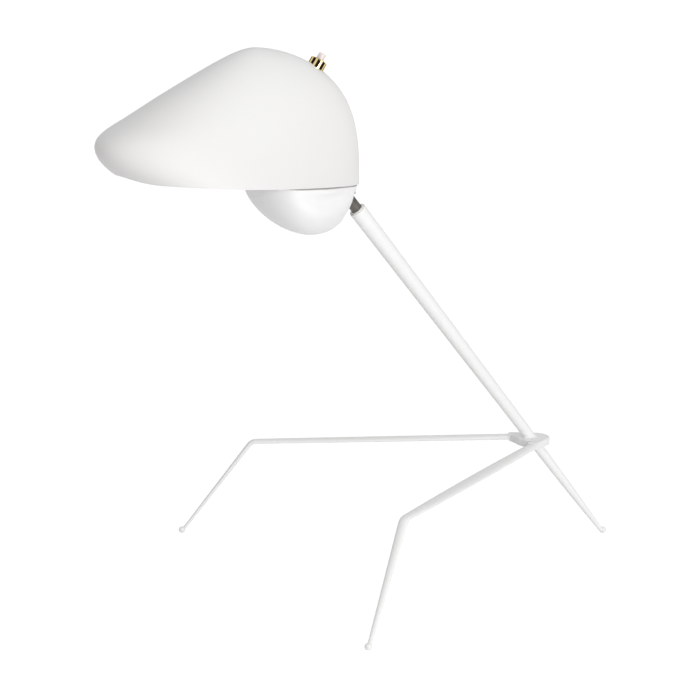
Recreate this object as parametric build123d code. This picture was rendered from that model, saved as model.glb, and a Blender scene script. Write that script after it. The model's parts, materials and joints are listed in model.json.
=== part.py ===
from build123d import *

import os
from math import atan, cos, degrees, pi, radians, sin, sqrt, tan

# Desk lamp: a bonnet-shaped shade on a slanting arm that stands on three thin legs.
# Millimetres. The origin is the flat sole of the rear foot; +Z is up, the lamp is symmetric about
# the XZ plane, and the shade points towards -X.

os.makedirs("parts", exist_ok=True)

# Driving dimensions: stand.
STRUT_ANGLE = 51.0  # slope of the rear leg and arm, from the floor
STRUT_LENGTH = 315.0  # rear sole to the arm's top face, along the strut
HUB_HEIGHT = 75.0  # middle of the hub plate above the floor
HUB_THICKNESS = 5.2
HUB_RADIUS = 11.8
HUB_EDGE_ROUND = 1.0
FORK_HALF_ANGLE = 31.3  # plan angle between each front leg and the XZ plane
STUB_LENGTH = 16.5  # hub centre to the end of the stub that takes a front leg
KNEE_REACH = 163.0  # hub axis to the knees, along -X
KNEE_SPREAD = 110.0  # XZ plane to a knee
KNEE_HEIGHT = 68.5
KNEE_RADIUS = 7.0
FOOT_REACH = 204.0
FOOT_SPREAD = 140.0
LEG_ROOT_WIDTH = 7.4
LEG_ROOT_THICKNESS = 4.0
LEG_MIDDLE_WIDTH = 10.0
LEG_KNEE_WIDTH = 6.6
LEG_THICKNESS = 3.3
LEG_TOE_WIDTH = 2.6
LEG_TOE_THICKNESS = 2.0
REAR_LEG_TOP_DIAMETER = 6.8
REAR_LEG_WAIST_DIAMETER = 5.8
REAR_LEG_TOE_DIAMETER = 2.6
FOOT_BALL_DIAMETER = 4.6
FOOT_BALL_HEIGHT = 2.0  # ball centre above its flat sole
TOE_HEIGHT = 1.2  # lowest point of a leg inside its foot
FORK_WEB_REACH = 0.95  # web between the stubs, as shares of the hub's radius
FORK_WEB_SPREAD = 0.45
LEG_OVERRUN = 0.6  # a front leg is drawn this far into its stub, then trimmed to the stub's end

ARM_TOP_DIAMETER = 11.5
ARM_FOOT_DIAMETER = 7.6
ARM_WALL = 1.0
OUTLET_DIAMETER = 8.0  # short tube below the arm, where the flex leaves
OUTLET_BORE = 5.0
OUTLET_DROP = 2.2  # how far it shows below the hub

# Driving dimensions: swivel.
BALL_REACH = 38.0  # arm's top face to the ball's centre
BALL_DIAMETER = 15.0
NECK_DIAMETER = 7.5
SPIGOT_DIAMETER = 6.0
WIRE_BORE = 3.2
PLUG_LENGTH = 14.0
WASHER_THICKNESS = 0.8
STEM_NUT_THICKNESS = 4.0
STEM_NUT_SLOT = 1.2  # width and depth of the driver slot
TURN_CLEARANCE = 0.05  # radial, shaft in its bore
FACE_CLEARANCE = 0.2  # between a turning shoulder and its seat
SPHERE_CLEARANCE = 0.3  # between nested spherical faces
RACE_THICKNESS = 1.2
RACE_HALF_ANGLE = 28.0  # the race is a band on both sides of the ball's equator
SOCKET_WALL = 1.8
SOCKET_MOUTH_ANGLE = 60.0  # from the stem's side, where the socket opens
SOCKET_CAP_ANGLE = 165.0  # where its upper half ends, round the wire hole
FLANGE_WIDTH = 3.6
FLANGE_THICKNESS = 2.5
CLAMP_SCREWS = 3
CLAMP_SHANK = 2.0
CLAMP_HEAD = 3.4
CLAMP_HEAD_HEIGHT = 2.0
FIT_CLEARANCE = 0.1  # radial, round fixed fasteners and bushes

# Driving dimensions: shade.
SHADE_BEHIND_BALL = 24.15  # rear corner of the rim behind the ball's centre
SHADE_BELOW_BALL = 12.43  # rear corner of the rim below the ball's centre
SHADE_HEIGHT = 89.8
SHADE_HALF_WIDTH = 42.3
SHADE_WALL = 1.2
CROWN_OFFSET = 73.2  # rear corner to the crown, along -X
BROW_RUN = 178.7  # crown to where the straight brow would reach the base
BROW_SOFTNESS = 0.077  # rounding of the crown ahead of its top
NOSE_REACH = 190.4  # no level of the shade goes further forward
NOSE_SOFTNESS = 16.3
NOSE_HEIGHT = 50.0  # below this height the nose tucks under
NOSE_TUCK_RADIUS = 26.5
REAR_CURVE = (3.175, 1.734)  # fullness of the rear profile: power of the height, root of the width
SIDE_CURVE = (1.3, 1.94)  # the same for the sides
BASE_WIDENING = 0.48  # pear shape of a level: narrow behind, wide in front
CROWN_WIDENING = 0.25  # the same at the crown
RIM_SLOPE = 0.073  # rise of the rim per length, towards the front
RIM_STRAIGHT = 146.5  # rear corner to the start of the upward sweep
RIM_SWEEP_RADIUS = 45.7
RIM_CUT_BEHIND = 20.0  # the rim's cut is carried on this far behind the rear corner
SHADE_SKIRT = -0.04  # level to which the skin is drawn below the base, before the rim is cut
SHADE_LEVEL_STEP = 8  # degrees of rise between the levels that shape the shade
JAW_LEVEL_STEP = 11
CURVE_POINTS = 20  # points round each level

JAW_LENGTH = 77.1
JAW_HALF_WIDTH = 31.7
JAW_DEPTH = 33.4
JAW_KEEL_OFFSET = 33.3  # rear corner to the deepest point
JAW_WIDENING = 0.5
JAW_REAR_CURVE = (1.92, 2.42)
JAW_SIDE_CURVE = (1.89, 1.87)
JAW_FRONT_CURVE = (1.52, 1.9)
JAW_WALL = 1.2
JAW_LIP = 3.0  # how far the jaw reaches up inside the shade
JAW_GAP = 0.3  # between the jaw's lip and the shade's inner skin
STEM_SLOT_HALF_WIDTH = 8.0
STEM_SLOT_ABOVE = 4.8
STEM_SLOT_BELOW = 14.0
STEM_SLOT_ROUND = 4.0

# Driving dimensions: inside the shade.
STRAP_WIDTH = 11.0
STRAP_THICKNESS = 2.0
STRAP_BEND_RADIUS = 3.0
STRAP_SEAT_HALF_LENGTH = 7.0
HOLDER_BEHIND_BALL = 2.15  # rear face of the lampholder
HOLDER_ABOVE_BALL = 31.67
HOLDER_RADIUS = 11.0
HOLDER_WALL = 1.8
HOLDER_LENGTH = 34.0
HOLDER_BASE = 3.0
NIPPLE_RADIUS = 5.0
NIPPLE_BORE_RADIUS = 3.4
NIPPLE_TAIL = 6.2  # nipple behind the lampholder's rear face
NIPPLE_COLLAR_RADIUS = 6.5
NIPPLE_COLLAR = 1.5
NUT_FLATS = 13.0
NUT_THICKNESS = 3.0
CORE_START = 5.0  # all starts and ends are measured forward from the lampholder's rear face
CORE_LENGTH = 9.0
SLEEVE_RADIUS = 7.6
SLEEVE_WALL = 0.45
SLEEVE_LENGTH = 18.0
CONTACT_RADIUS = 2.0
CONTACT_LENGTH = 2.5
BULB_RADIUS = 22.5
BULB_GLASS_WALL = 0.8
BULB_NECK_RADIUS = 8.0
BULB_NECK_LENGTH = 27.0  # rim of the screw cap to the globe's centre
BULB_STEM_DEPTH = 3.0  # glass inside the cap
CAP_RADIUS = 6.9
CAP_WALL = 0.4
CAP_LENGTH = 19.0
INSULATOR_LENGTH = 2.0
TIP_LENGTH = 1.0
TIP_RADIUS = 2.4

SWITCH_OFFSET = 30.0  # rear corner of the rim to the switch, along -X
SWITCH_TILT = 33.5  # of the switch's axis from vertical, towards the rear
BUSH_RADIUS = 4.0
BUSH_RISE = 4.8  # bush above the shade
BEZEL_RADIUS = 5.6
BEZEL_RISE = 4.4
BEZEL_FLUTES = 20
BEZEL_FLUTE_RADIUS = 0.55
BEZEL_CHAMFER = 0.5
SADDLE_RADIUS = 6.0
SADDLE_THICKNESS = 2.8
SWITCH_RADIUS = 6.5
SWITCH_LENGTH = 10.0
SWITCH_WALL = 1.2
BUTTON_RADIUS = 2.5
BUTTON_RISE = 4.4  # button above the bush
BUTTON_ROUND = 0.8
BUTTON_TRAVEL = 2.0
BUTTON_COLLAR_RADIUS = 3.6
BUTTON_COLLAR = 1.2
TERMINAL_SPACING = 7.0
TERMINAL_RADIUS = 0.9
TERMINAL_LENGTH = 2.5
LEAD_RADIUS = 0.8
LEAD_IN_NIPPLE = 1.4  # XZ plane to a lead inside the nipple
LEAD_HOLE_DEPTH = 3.0
LEAD_ROUTE = (  # behind the lampholder's rear face, beside the XZ plane and above the holder's axis
    (-10.0, 7.6, 12.0),
    (0.0, 7.6, 10.0),
    (9.7, 4.5, 4.0),
    (8.7, LEAD_IN_NIPPLE, 0.6),
    (3.2, LEAD_IN_NIPPLE, 0.0),
)

# Derived places.
STRUT_DIRECTION = Vector(-cos(radians(STRUT_ANGLE)), 0, sin(radians(STRUT_ANGLE)))
HUB_X = -HUB_HEIGHT / tan(radians(STRUT_ANGLE))
HUB_TOP = HUB_HEIGHT + HUB_THICKNESS / 2
HUB_BOTTOM = HUB_HEIGHT - HUB_THICKNESS / 2
ARM_FOOT = HUB_TOP / sin(radians(STRUT_ANGLE))
OUTLET_X = -HUB_TOP / tan(radians(STRUT_ANGLE))
BALL_AT = STRUT_LENGTH + BALL_REACH
BALL_RADIUS = BALL_DIAMETER / 2
BALL_X = -BALL_AT * cos(radians(STRUT_ANGLE))
BALL_Z = BALL_AT * sin(radians(STRUT_ANGLE))
SHADE_REAR = BALL_X + SHADE_BEHIND_BALL
SHADE_BASE = BALL_Z - SHADE_BELOW_BALL
HOLDER_X = BALL_X + HOLDER_BEHIND_BALL
HOLDER_Z = BALL_Z + HOLDER_ABOVE_BALL
SOCKET_INNER = BALL_RADIUS + RACE_THICKNESS + 2 * SPHERE_CLEARANCE
SOCKET_OUTER = SOCKET_INNER + SOCKET_WALL
FLANGE_RADIUS = SOCKET_OUTER + FLANGE_WIDTH
CLAMP_CIRCLE = SOCKET_OUTER + FLANGE_WIDTH / 2
STRAP_SEAT = SHADE_WALL + SADDLE_THICKNESS  # depth of the strap's switch seat below the skin
CAP_RIM = CORE_START + CORE_LENGTH + CONTACT_LENGTH + TIP_LENGTH + INSULATOR_LENGTH + CAP_LENGTH
GLOBE_CENTRE = CAP_RIM + BULB_NECK_LENGTH
HOLDER_PLANE = Plane(origin=(HOLDER_X, 0, HOLDER_Z), x_dir=(0, 1, 0), z_dir=(-1, 0, 0))
RIM_TILT = degrees(atan(RIM_SLOPE))
BIG = 600.0  # larger than the lamp, for half-space cuts


def save(part, node):
    part.label = node
    export_step(part, f"parts/{node}.step")


def single(shape):
    solids = shape.solids()
    return solids[0] if len(solids) == 1 else shape


def on_strut(distance):
    return STRUT_DIRECTION * distance


def strut_plane(distance):
    """Plane square to the strut; its local Y points across the strut, down and to the front."""
    return Plane(origin=on_strut(distance), x_dir=(0, 1, 0), z_dir=STRUT_DIRECTION)


def turned(profile_points, plane):
    """A solid turned about a plane's normal, from (radius, height) points."""
    face = make_face(Polyline(*[(r, 0, z) for r, z in profile_points], close=True).edges())
    return plane.location * revolve(face, Axis.Z)


def tube(plane, radius, start, end, bore=0.0):
    """A rod, or a tube when it has a bore, between two heights on a plane's normal."""
    rod = Pos(0, 0, start) * Cylinder(radius, end - start, align=(Align.CENTER, Align.CENTER, Align.MIN))
    if bore > 0:
        rod -= Pos(0, 0, start - 1) * Cylinder(
            bore, end - start + 2, align=(Align.CENTER, Align.CENTER, Align.MIN)
        )
    return plane.location * rod


def hexagon(plane, flats, start, end, bore):
    nut = extrude(RegularPolygon(flats / 2, 6, major_radius=False), end - start)
    nut -= Pos(0, 0, -1) * Cylinder(bore, end - start + 2, align=(Align.CENTER, Align.CENTER, Align.MIN))
    return plane.location * Pos(0, 0, start) * nut


def smooth_min(a, b, softness):
    return (a + b - sqrt((a - b) ** 2 + softness**2)) / 2


# Hub and legs.
def make_hub():
    """Hairpin plate: a disc, a stub for each front leg, and the web between them."""
    sketch = Pos(HUB_X, 0) * Circle(HUB_RADIUS)
    offset = HUB_RADIUS - LEG_ROOT_WIDTH / 2
    for side in (-1, 1):
        stub = Pos(-STUB_LENGTH / 2, side * offset) * Rectangle(STUB_LENGTH, LEG_ROOT_WIDTH)
        sketch += Pos(HUB_X, 0) * Rot(0, 0, -side * FORK_HALF_ANGLE) * stub
    web_x = -HUB_RADIUS * FORK_WEB_REACH
    web_y = offset + HUB_RADIUS * sin(radians(FORK_HALF_ANGLE)) * FORK_WEB_SPREAD
    sketch += Pos(HUB_X, 0) * Polygon((0, 0), (web_x, web_y), (web_x, -web_y), align=None)
    plate = extrude(Pos(0, 0, HUB_BOTTOM) * sketch, HUB_THICKNESS)
    rims = plate.faces().sort_by(Axis.Z)
    plate = fillet(rims[0].edges() + rims[-1].edges(), HUB_EDGE_ROUND)
    bore = Pos(OUTLET_X, 0, HUB_HEIGHT) * Cylinder(OUTLET_DIAMETER / 2, BIG)
    return plate - bore


def stub_end(side):
    """End face of the stub that takes a front leg, facing away from the hub."""
    turn = radians(FORK_HALF_ANGLE)
    offset = HUB_RADIUS - LEG_ROOT_WIDTH / 2
    x = HUB_X - STUB_LENGTH * cos(turn) + offset * sin(turn)
    y = STUB_LENGTH * sin(turn) + offset * cos(turn)
    return Plane(origin=(x, side * y, HUB_HEIGHT), x_dir=(0, 0, 1), z_dir=(-cos(turn), side * sin(turn), 0))


def leg_section(span, share, width, thickness):
    """Flattened section square to one span of a leg, at a share of the way from the hub."""
    if (span @ 0).X < (span @ 1).X:
        share = 1 - share
    along = span % share
    if along.X > 0:
        along = along * -1
    across = along.cross(Vector(0, 0, 1)).normalized()
    return Plane(origin=span @ share, x_dir=across, z_dir=along) * Ellipse(width / 2, thickness / 2)


def outer_end(span):
    """Flat end of a span of a leg, on the side away from the hub."""
    return span.faces().filter_by(GeomType.PLANE).sort_by(Axis.X)[0]


def make_front_leg(side):
    """Flattened bar from the hub to the knee and down to the toe, drawn thinner towards the toe."""
    stub = stub_end(side)
    root = stub.from_local_coords((0, 0, -LEG_OVERRUN))
    knee = Vector(HUB_X - KNEE_REACH, side * KNEE_SPREAD, KNEE_HEIGHT)
    toe = Vector(HUB_X - FOOT_REACH, side * FOOT_SPREAD, TOE_HEIGHT)
    path = FilletPolyline(root, knee, toe, radius=KNEE_RADIUS)
    beam, bend, post = path.edges().sort_by(lambda edge: edge.center().X, reverse=True)
    upper = loft(
        [
            leg_section(beam, 0, LEG_ROOT_WIDTH, LEG_ROOT_THICKNESS),
            leg_section(beam, 0.5, LEG_MIDDLE_WIDTH, LEG_THICKNESS),
            leg_section(beam, 1, LEG_KNEE_WIDTH, LEG_THICKNESS),
        ]
    )
    curve = sweep(outer_end(upper), path=bend)
    toe_section = leg_section(post, 1, LEG_TOE_WIDTH, LEG_TOE_THICKNESS)
    lower = loft([outer_end(curve), toe_section], ruled=True)
    hub_side = stub.location * Box(BIG, BIG, BIG, align=(Align.CENTER, Align.CENTER, Align.MAX))
    return single(upper + curve + lower - hub_side)


def make_rear_leg():
    """Round tapered leg in line with the arm, coped round the outlet tube and clear of its bore."""
    toe = TOE_HEIGHT / sin(radians(STRUT_ANGLE))
    waist = toe + (ARM_FOOT - toe) * 0.5
    radii = (
        (toe, REAR_LEG_TOE_DIAMETER / 2),
        (waist, REAR_LEG_WAIST_DIAMETER / 2),
        (ARM_FOOT, REAR_LEG_TOP_DIAMETER / 2),
    )
    leg = loft([strut_plane(at) * Circle(radius) for at, radius in radii])
    leg -= Pos(0, 0, HUB_BOTTOM) * Box(BIG, BIG, BIG, align=(Align.CENTER, Align.CENTER, Align.MIN))
    below_outlet = Plane(origin=(OUTLET_X, 0, 0))
    leg -= tube(below_outlet, OUTLET_DIAMETER / 2, HUB_BOTTOM - OUTLET_DROP, HUB_TOP)
    return leg - tube(below_outlet, OUTLET_BORE / 2, 0, HUB_TOP)


def make_foot(x, y, leg):
    """Small ball foot with a flat sole and a socket for the leg's tip."""
    ball = Pos(x, y, FOOT_BALL_HEIGHT) * Sphere(FOOT_BALL_DIAMETER / 2)
    ball -= Box(BIG, BIG, BIG, align=(Align.CENTER, Align.CENTER, Align.MAX))
    return ball - leg


def arm_radius(distance, wall=0.0):
    share = (distance - ARM_FOOT) / (STRUT_LENGTH - ARM_FOOT)
    diameter = ARM_FOOT_DIAMETER + (ARM_TOP_DIAMETER - ARM_FOOT_DIAMETER) * share
    return diameter / 2 - wall


def arm_cone(start, end, wall=0.0):
    ends = [strut_plane(at) * Circle(arm_radius(at, wall)) for at in (start, end)]
    return loft(ends)


def make_arm():
    """Tapered tube that stands on the hub, over the outlet."""
    below = ARM_FOOT - ARM_FOOT_DIAMETER
    arm = arm_cone(below, STRUT_LENGTH) - arm_cone(below - 1, STRUT_LENGTH + 1, ARM_WALL)
    return arm - Pos(0, 0, HUB_TOP) * Box(BIG, BIG, BIG, align=(Align.CENTER, Align.CENTER, Align.MAX))


def make_outlet():
    lower = HUB_BOTTOM - OUTLET_DROP
    return tube(Plane(origin=(OUTLET_X, 0, 0)), OUTLET_DIAMETER / 2, lower, HUB_TOP, OUTLET_BORE / 2)


# Swivel.
def make_arm_plug():
    plug = arm_cone(STRUT_LENGTH - PLUG_LENGTH, STRUT_LENGTH, ARM_WALL + FIT_CLEARANCE)
    bore = SPIGOT_DIAMETER / 2 + TURN_CLEARANCE
    return plug - tube(strut_plane(0), bore, STRUT_LENGTH - PLUG_LENGTH - 1, STRUT_LENGTH + 1)


def make_washer():
    start = STRUT_LENGTH
    bore = SPIGOT_DIAMETER / 2 + TURN_CLEARANCE
    radius = arm_radius(STRUT_LENGTH, ARM_WALL)
    return tube(strut_plane(0), radius, start, start + WASHER_THICKNESS, bore)


def make_ball_stem():
    """Ball, neck and spigot turned in one piece, bored for the wires."""
    shoulder = STRUT_LENGTH + WASHER_THICKNESS + FACE_CLEARANCE
    nut_end = STRUT_LENGTH - PLUG_LENGTH - FACE_CLEARANCE - STEM_NUT_THICKNESS
    stem = strut_plane(BALL_AT).location * Sphere(BALL_RADIUS)
    stem += tube(strut_plane(0), NECK_DIAMETER / 2, shoulder, BALL_AT)
    stem += tube(strut_plane(0), SPIGOT_DIAMETER / 2, nut_end, shoulder + 1)
    return stem - tube(strut_plane(0), WIRE_BORE / 2, nut_end - 1, BALL_AT + BALL_RADIUS + 1)


def make_stem_nut():
    end = STRUT_LENGTH - PLUG_LENGTH - FACE_CLEARANCE
    start = end - STEM_NUT_THICKNESS
    radius = arm_radius(start, ARM_WALL) - 2 * FACE_CLEARANCE
    nut = tube(strut_plane(0), radius, start, end, SPIGOT_DIAMETER / 2)
    slot = Pos(0, 0, start) * Box(2 * radius + 2, STEM_NUT_SLOT, 2 * STEM_NUT_SLOT)
    return nut - strut_plane(0).location * slot


def sphere_band(inner, outer, low_angle, high_angle):
    """Part of a hollow sphere round the ball, between two angles from the stem's side."""
    low = radians(low_angle)
    high = radians(high_angle)
    middle = (low + high) / 2
    inner_arc = ThreePointArc(*[(inner * sin(a), 0, -inner * cos(a)) for a in (low, middle, high)])
    outer_arc = ThreePointArc(*[(outer * sin(a), 0, -outer * cos(a)) for a in (low, middle, high)])
    ends = [Line(inner_arc @ end, outer_arc @ end) for end in (0, 1)]
    face = make_face([inner_arc, outer_arc, *ends])
    return strut_plane(BALL_AT).location * revolve(face, Axis.Z)


def make_race():
    inner = BALL_RADIUS + SPHERE_CLEARANCE
    return sphere_band(inner, inner + RACE_THICKNESS, 90 - RACE_HALF_ANGLE, 90 + RACE_HALF_ANGLE)


def clamp_screw_places():
    step = 360 / CLAMP_SCREWS
    for index in range(CLAMP_SCREWS):
        angle = radians(index * step - 90)
        yield CLAMP_CIRCLE * cos(angle), CLAMP_CIRCLE * sin(angle)


def clamp_holes(radius):
    holes = None
    for x, y in clamp_screw_places():
        hole = strut_plane(BALL_AT).location * Pos(x, y, 0) * Cylinder(radius, 4 * FLANGE_THICKNESS + 8)
        holes = hole if holes is None else holes + hole
    return holes


def make_socket_lower():
    cup = sphere_band(SOCKET_INNER, SOCKET_OUTER, SOCKET_MOUTH_ANGLE, 90)
    flange = tube(strut_plane(BALL_AT), FLANGE_RADIUS, -FLANGE_THICKNESS, 0, SOCKET_OUTER - SOCKET_WALL / 2)
    flange -= strut_plane(BALL_AT).location * Sphere(SOCKET_INNER)
    return cup + flange - clamp_holes(CLAMP_SHANK / 2 + FIT_CLEARANCE)


def make_socket_upper():
    cap = sphere_band(SOCKET_INNER, SOCKET_OUTER, 90, SOCKET_CAP_ANGLE)
    flange = tube(strut_plane(BALL_AT), FLANGE_RADIUS, 0, FLANGE_THICKNESS, SOCKET_OUTER - SOCKET_WALL / 2)
    flange -= strut_plane(BALL_AT).location * Sphere(SOCKET_INNER)
    return cap + flange - clamp_holes(CLAMP_SHANK / 2 + FIT_CLEARANCE)


def make_clamp_screws():
    """Cap screws through both flanges and the strap's ring."""
    screws = []
    top = FLANGE_THICKNESS + STRAP_THICKNESS
    for x, y in clamp_screw_places():
        shank = Pos(x, y, -FLANGE_THICKNESS) * Cylinder(
            CLAMP_SHANK / 2, top + FLANGE_THICKNESS, align=(Align.CENTER, Align.CENTER, Align.MIN)
        )
        head = Pos(x, y, -FLANGE_THICKNESS) * Cylinder(
            CLAMP_HEAD / 2, CLAMP_HEAD_HEIGHT, align=(Align.CENTER, Align.CENTER, Align.MAX)
        )
        screws.append(single(strut_plane(BALL_AT).location * (shank + head)))
    return Compound(children=screws)


# Shade.
def swell(level, curve):
    """Share of the full size left at a level between 0 and 1."""
    power, root = curve
    return (1 - level**power) ** (1 / root)


def shade_level(height, inset):
    """Rear end, front end and half width of the shade at one height, for a skin set in by inset."""
    level = max(height, 0.0) / (SHADE_HEIGHT - inset)
    slope_inset = inset * sqrt(1 + (BROW_RUN / SHADE_HEIGHT) ** 2) - inset * BROW_RUN / SHADE_HEIGHT
    rear = (CROWN_OFFSET - inset) * swell(level, REAR_CURVE)
    half_width = (SHADE_HALF_WIDTH - inset) * swell(level, SIDE_CURVE)
    reach = sqrt(1 + BROW_SOFTNESS**2)
    drop = (1 - level) * (reach - BROW_SOFTNESS) + BROW_SOFTNESS
    brow = CROWN_OFFSET + (BROW_RUN - slope_inset) * sqrt(max(drop**2 - BROW_SOFTNESS**2, 0.0))
    tuck = max(NOSE_HEIGHT - height, 0.0) ** 2 / (2 * NOSE_TUCK_RADIUS)
    front = smooth_min(brow, NOSE_REACH - tuck - inset, NOSE_SOFTNESS)
    return CROWN_OFFSET - rear, front, half_width


def widening_at(height, inset):
    level = max(height, 0.0) / (SHADE_HEIGHT - inset)
    return BASE_WIDENING + (CROWN_WIDENING - BASE_WIDENING) * level


def pear(rear, front, half_width, widening, z, limit=None, limit_inset=0.0):
    """Closed curve, symmetric about the XZ plane, narrow at its rear end and broad in front.

    limit, where given, tells the largest half width for a place along the curve, less an inset.
    """
    places = []
    for index in range(CURVE_POINTS):
        turn = 2 * pi * index / CURVE_POINTS
        along = (rear + front) / 2 - (front - rear) / 2 * cos(turn)
        across = half_width * sin(turn) * (1 - widening * cos(turn))
        if limit:
            most = max(limit(along) - limit_inset, 0.0)
            across = min(max(across, -most), most)
        places.append((-along, across, z))
    return Wire([Edge.make_spline([Vector(*place) for place in places], periodic=True)])


def shade_body(inset):
    """Solid bounded by the shade's outer skin, or by a skin set in from it."""
    height = SHADE_HEIGHT - inset
    levels = [SHADE_SKIRT] + [sin(radians(turn)) for turn in range(0, 89, SHADE_LEVEL_STEP)]
    sections = []
    for level in levels:
        rear, front, half_width = shade_level(level * height, inset)
        widening = widening_at(level * height, inset)
        sections.append(pear(rear, front, half_width, widening, level * height))
    sections.append(Vertex(-CROWN_OFFSET, 0, height))
    return Pos(SHADE_REAR, 0, SHADE_BASE) * Solid.make_loft(sections)


def rim_line(u):
    return RIM_SLOPE * u


def below_rim():
    """Everything under the rim: a straight rise from the rear, then an upward sweep at the nose."""
    start = (-RIM_STRAIGHT, 0, rim_line(RIM_STRAIGHT))
    sweep_end = (-RIM_STRAIGHT - RIM_SWEEP_RADIUS, 0, rim_line(RIM_STRAIGHT) + RIM_SWEEP_RADIUS)
    middle = (
        start[0] - RIM_SWEEP_RADIUS * sin(pi / 4),
        0,
        start[2] + RIM_SWEEP_RADIUS * (1 - cos(pi / 4)),
    )
    top = (sweep_end[0], 0, SHADE_HEIGHT)
    outline = [
        Line((RIM_CUT_BEHIND, 0, rim_line(-RIM_CUT_BEHIND)), start),
        ThreePointArc(start, middle, sweep_end),
        Line(sweep_end, top),
        Line(top, (-BIG, 0, SHADE_HEIGHT)),
        Line((-BIG, 0, SHADE_HEIGHT), (-BIG, 0, -BIG)),
        Line((-BIG, 0, -BIG), (RIM_CUT_BEHIND, 0, -BIG)),
        Line((RIM_CUT_BEHIND, 0, -BIG), (RIM_CUT_BEHIND, 0, rim_line(-RIM_CUT_BEHIND))),
    ]
    face = make_face(outline)
    return Pos(SHADE_REAR, 0, SHADE_BASE) * extrude(face, BIG / 2, dir=(0, 1, 0), both=True)


def switch_plane():
    """Plane on the shade's outer skin, under the switch's bezel, square to the switch's axis."""
    low, high = 0.0, SHADE_HEIGHT
    for _ in range(40):
        height = (low + high) / 2
        if shade_level(height, 0)[0] < SWITCH_OFFSET:
            low = height
        else:
            high = height
    tilt = radians(SWITCH_TILT)
    origin = (SHADE_REAR - SWITCH_OFFSET, 0, SHADE_BASE + low)
    return Plane(origin=origin, x_dir=(0, 1, 0), z_dir=(sin(tilt), 0, cos(tilt)))


def stem_slot():
    """Room for the stem as the shade tilts: a rounded slot along the strut's axis."""
    height = STEM_SLOT_ABOVE + STEM_SLOT_BELOW
    middle = (STEM_SLOT_ABOVE - STEM_SLOT_BELOW) / 2
    outline = Pos(0, -middle) * RectangleRounded(2 * STEM_SLOT_HALF_WIDTH, height, STEM_SLOT_ROUND)
    return strut_plane(BALL_AT).location * extrude(outline, -2 * BALL_REACH)


def make_shade(outer, inner):
    shell = outer - inner - below_rim()
    shell -= tube(switch_plane(), BUSH_RADIUS + FIT_CLEARANCE, -SADDLE_RADIUS, SADDLE_RADIUS)
    return single(shell - stem_slot())


def skin_half_width(along, height, inset):
    """Half width of a skin of the shade at a height and a distance from its rear corner."""
    rear, front, half_width = shade_level(height, inset)
    turn_cos = ((rear + front) / 2 - along) / ((front - rear) / 2)
    if turn_cos >= 1:
        return 0.0
    return half_width * sqrt(1 - turn_cos**2) * (1 - widening_at(height, inset) * turn_cos)


def lip_limit(along):
    """Half width that the jaw may have: clear of the shade's inner skin at the top of its lip."""
    height = RIM_SLOPE * along + JAW_LIP
    return max(skin_half_width(along, height, SHADE_WALL) - JAW_GAP, 0.0)


def jaw_section(level, inset):
    """Level curve of the jaw, kept inside the shade's skin."""
    back = JAW_KEEL_OFFSET - SHADE_WALL - JAW_GAP - inset
    rear = JAW_KEEL_OFFSET - back * swell(level, JAW_REAR_CURVE)
    front = JAW_KEEL_OFFSET + (JAW_LENGTH - JAW_KEEL_OFFSET - inset) * swell(level, JAW_FRONT_CURVE)
    half_width = (JAW_HALF_WIDTH - inset) * swell(level, JAW_SIDE_CURVE)
    height = -level * (JAW_DEPTH - inset)
    return pear(rear, front, half_width, JAW_WIDENING, height, limit=lip_limit, limit_inset=inset)


def jaw_body(inset, lip):
    """Bowl below the rim, deepest near its rear, with an upright lip above."""
    sections = [jaw_section(sin(radians(turn)), inset) for turn in range(0, 89, JAW_LEVEL_STEP)]
    collar = extrude(Face(sections[0]), lip, dir=(0, 0, 1))
    sections.append(Vertex(-JAW_KEEL_OFFSET, 0, inset - JAW_DEPTH))
    bowl = Solid.make_loft(sections) + collar
    return Pos(SHADE_REAR, 0, SHADE_BASE) * Rot(0, RIM_TILT, 0) * bowl


def make_jaw():
    """Reflector bowl under the rear of the shade, with its lip inside the shade's skin."""
    shell = jaw_body(0, JAW_LIP) - jaw_body(JAW_WALL, JAW_LIP + 1)
    return single(shell - stem_slot())


# Inside the shade.
def make_spine_strap():
    """Folded strap that carries the switch and the lampholder, with a ring round the socket."""
    seat = switch_plane()
    depth = -STRAP_SEAT - STRAP_THICKNESS / 2
    ring_height = FLANGE_THICKNESS + STRAP_THICKNESS / 2
    tab_radius = FLANGE_RADIUS + STRAP_BEND_RADIUS - STRAP_THICKNESS / 2
    plate_x = HOLDER_X + STRAP_THICKNESS / 2
    ring = strut_plane(BALL_AT)
    tab_foot = ring.from_local_coords((0, -tab_radius, ring_height))
    tab_rise = (tab_foot.X - plate_x) / cos(radians(STRUT_ANGLE))
    points = [
        seat.from_local_coords((0, STRAP_SEAT_HALF_LENGTH, depth)),
        seat.from_local_coords((0, -STRAP_SEAT_HALF_LENGTH, depth)),
        Vector(plate_x, 0, HOLDER_Z + HOLDER_RADIUS + STRAP_BEND_RADIUS),
        tab_foot + STRUT_DIRECTION * tab_rise,
        tab_foot,
        ring.from_local_coords((0, -CLAMP_CIRCLE, ring_height)),
    ]
    path = FilletPolyline(*points, radius=STRAP_BEND_RADIUS * 0.99)
    start = Plane(origin=path @ 0, x_dir=(0, 1, 0), z_dir=path % 0)
    strap = sweep(start * Rectangle(STRAP_WIDTH, STRAP_THICKNESS), path=path)
    top = FLANGE_THICKNESS + STRAP_THICKNESS
    strap += tube(ring, FLANGE_RADIUS, FLANGE_THICKNESS, top)
    strap -= tube(ring, SOCKET_OUTER + SPHERE_CLEARANCE, 0, top + 1)
    strap -= clamp_holes(CLAMP_SHANK / 2)
    strap -= tube(seat, BUSH_RADIUS + FIT_CLEARANCE, 2 * depth, 0)
    strap -= tube(HOLDER_PLANE, NIPPLE_RADIUS + FIT_CLEARANCE, -2 * STRAP_THICKNESS, 0)
    return single(strap)


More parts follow.
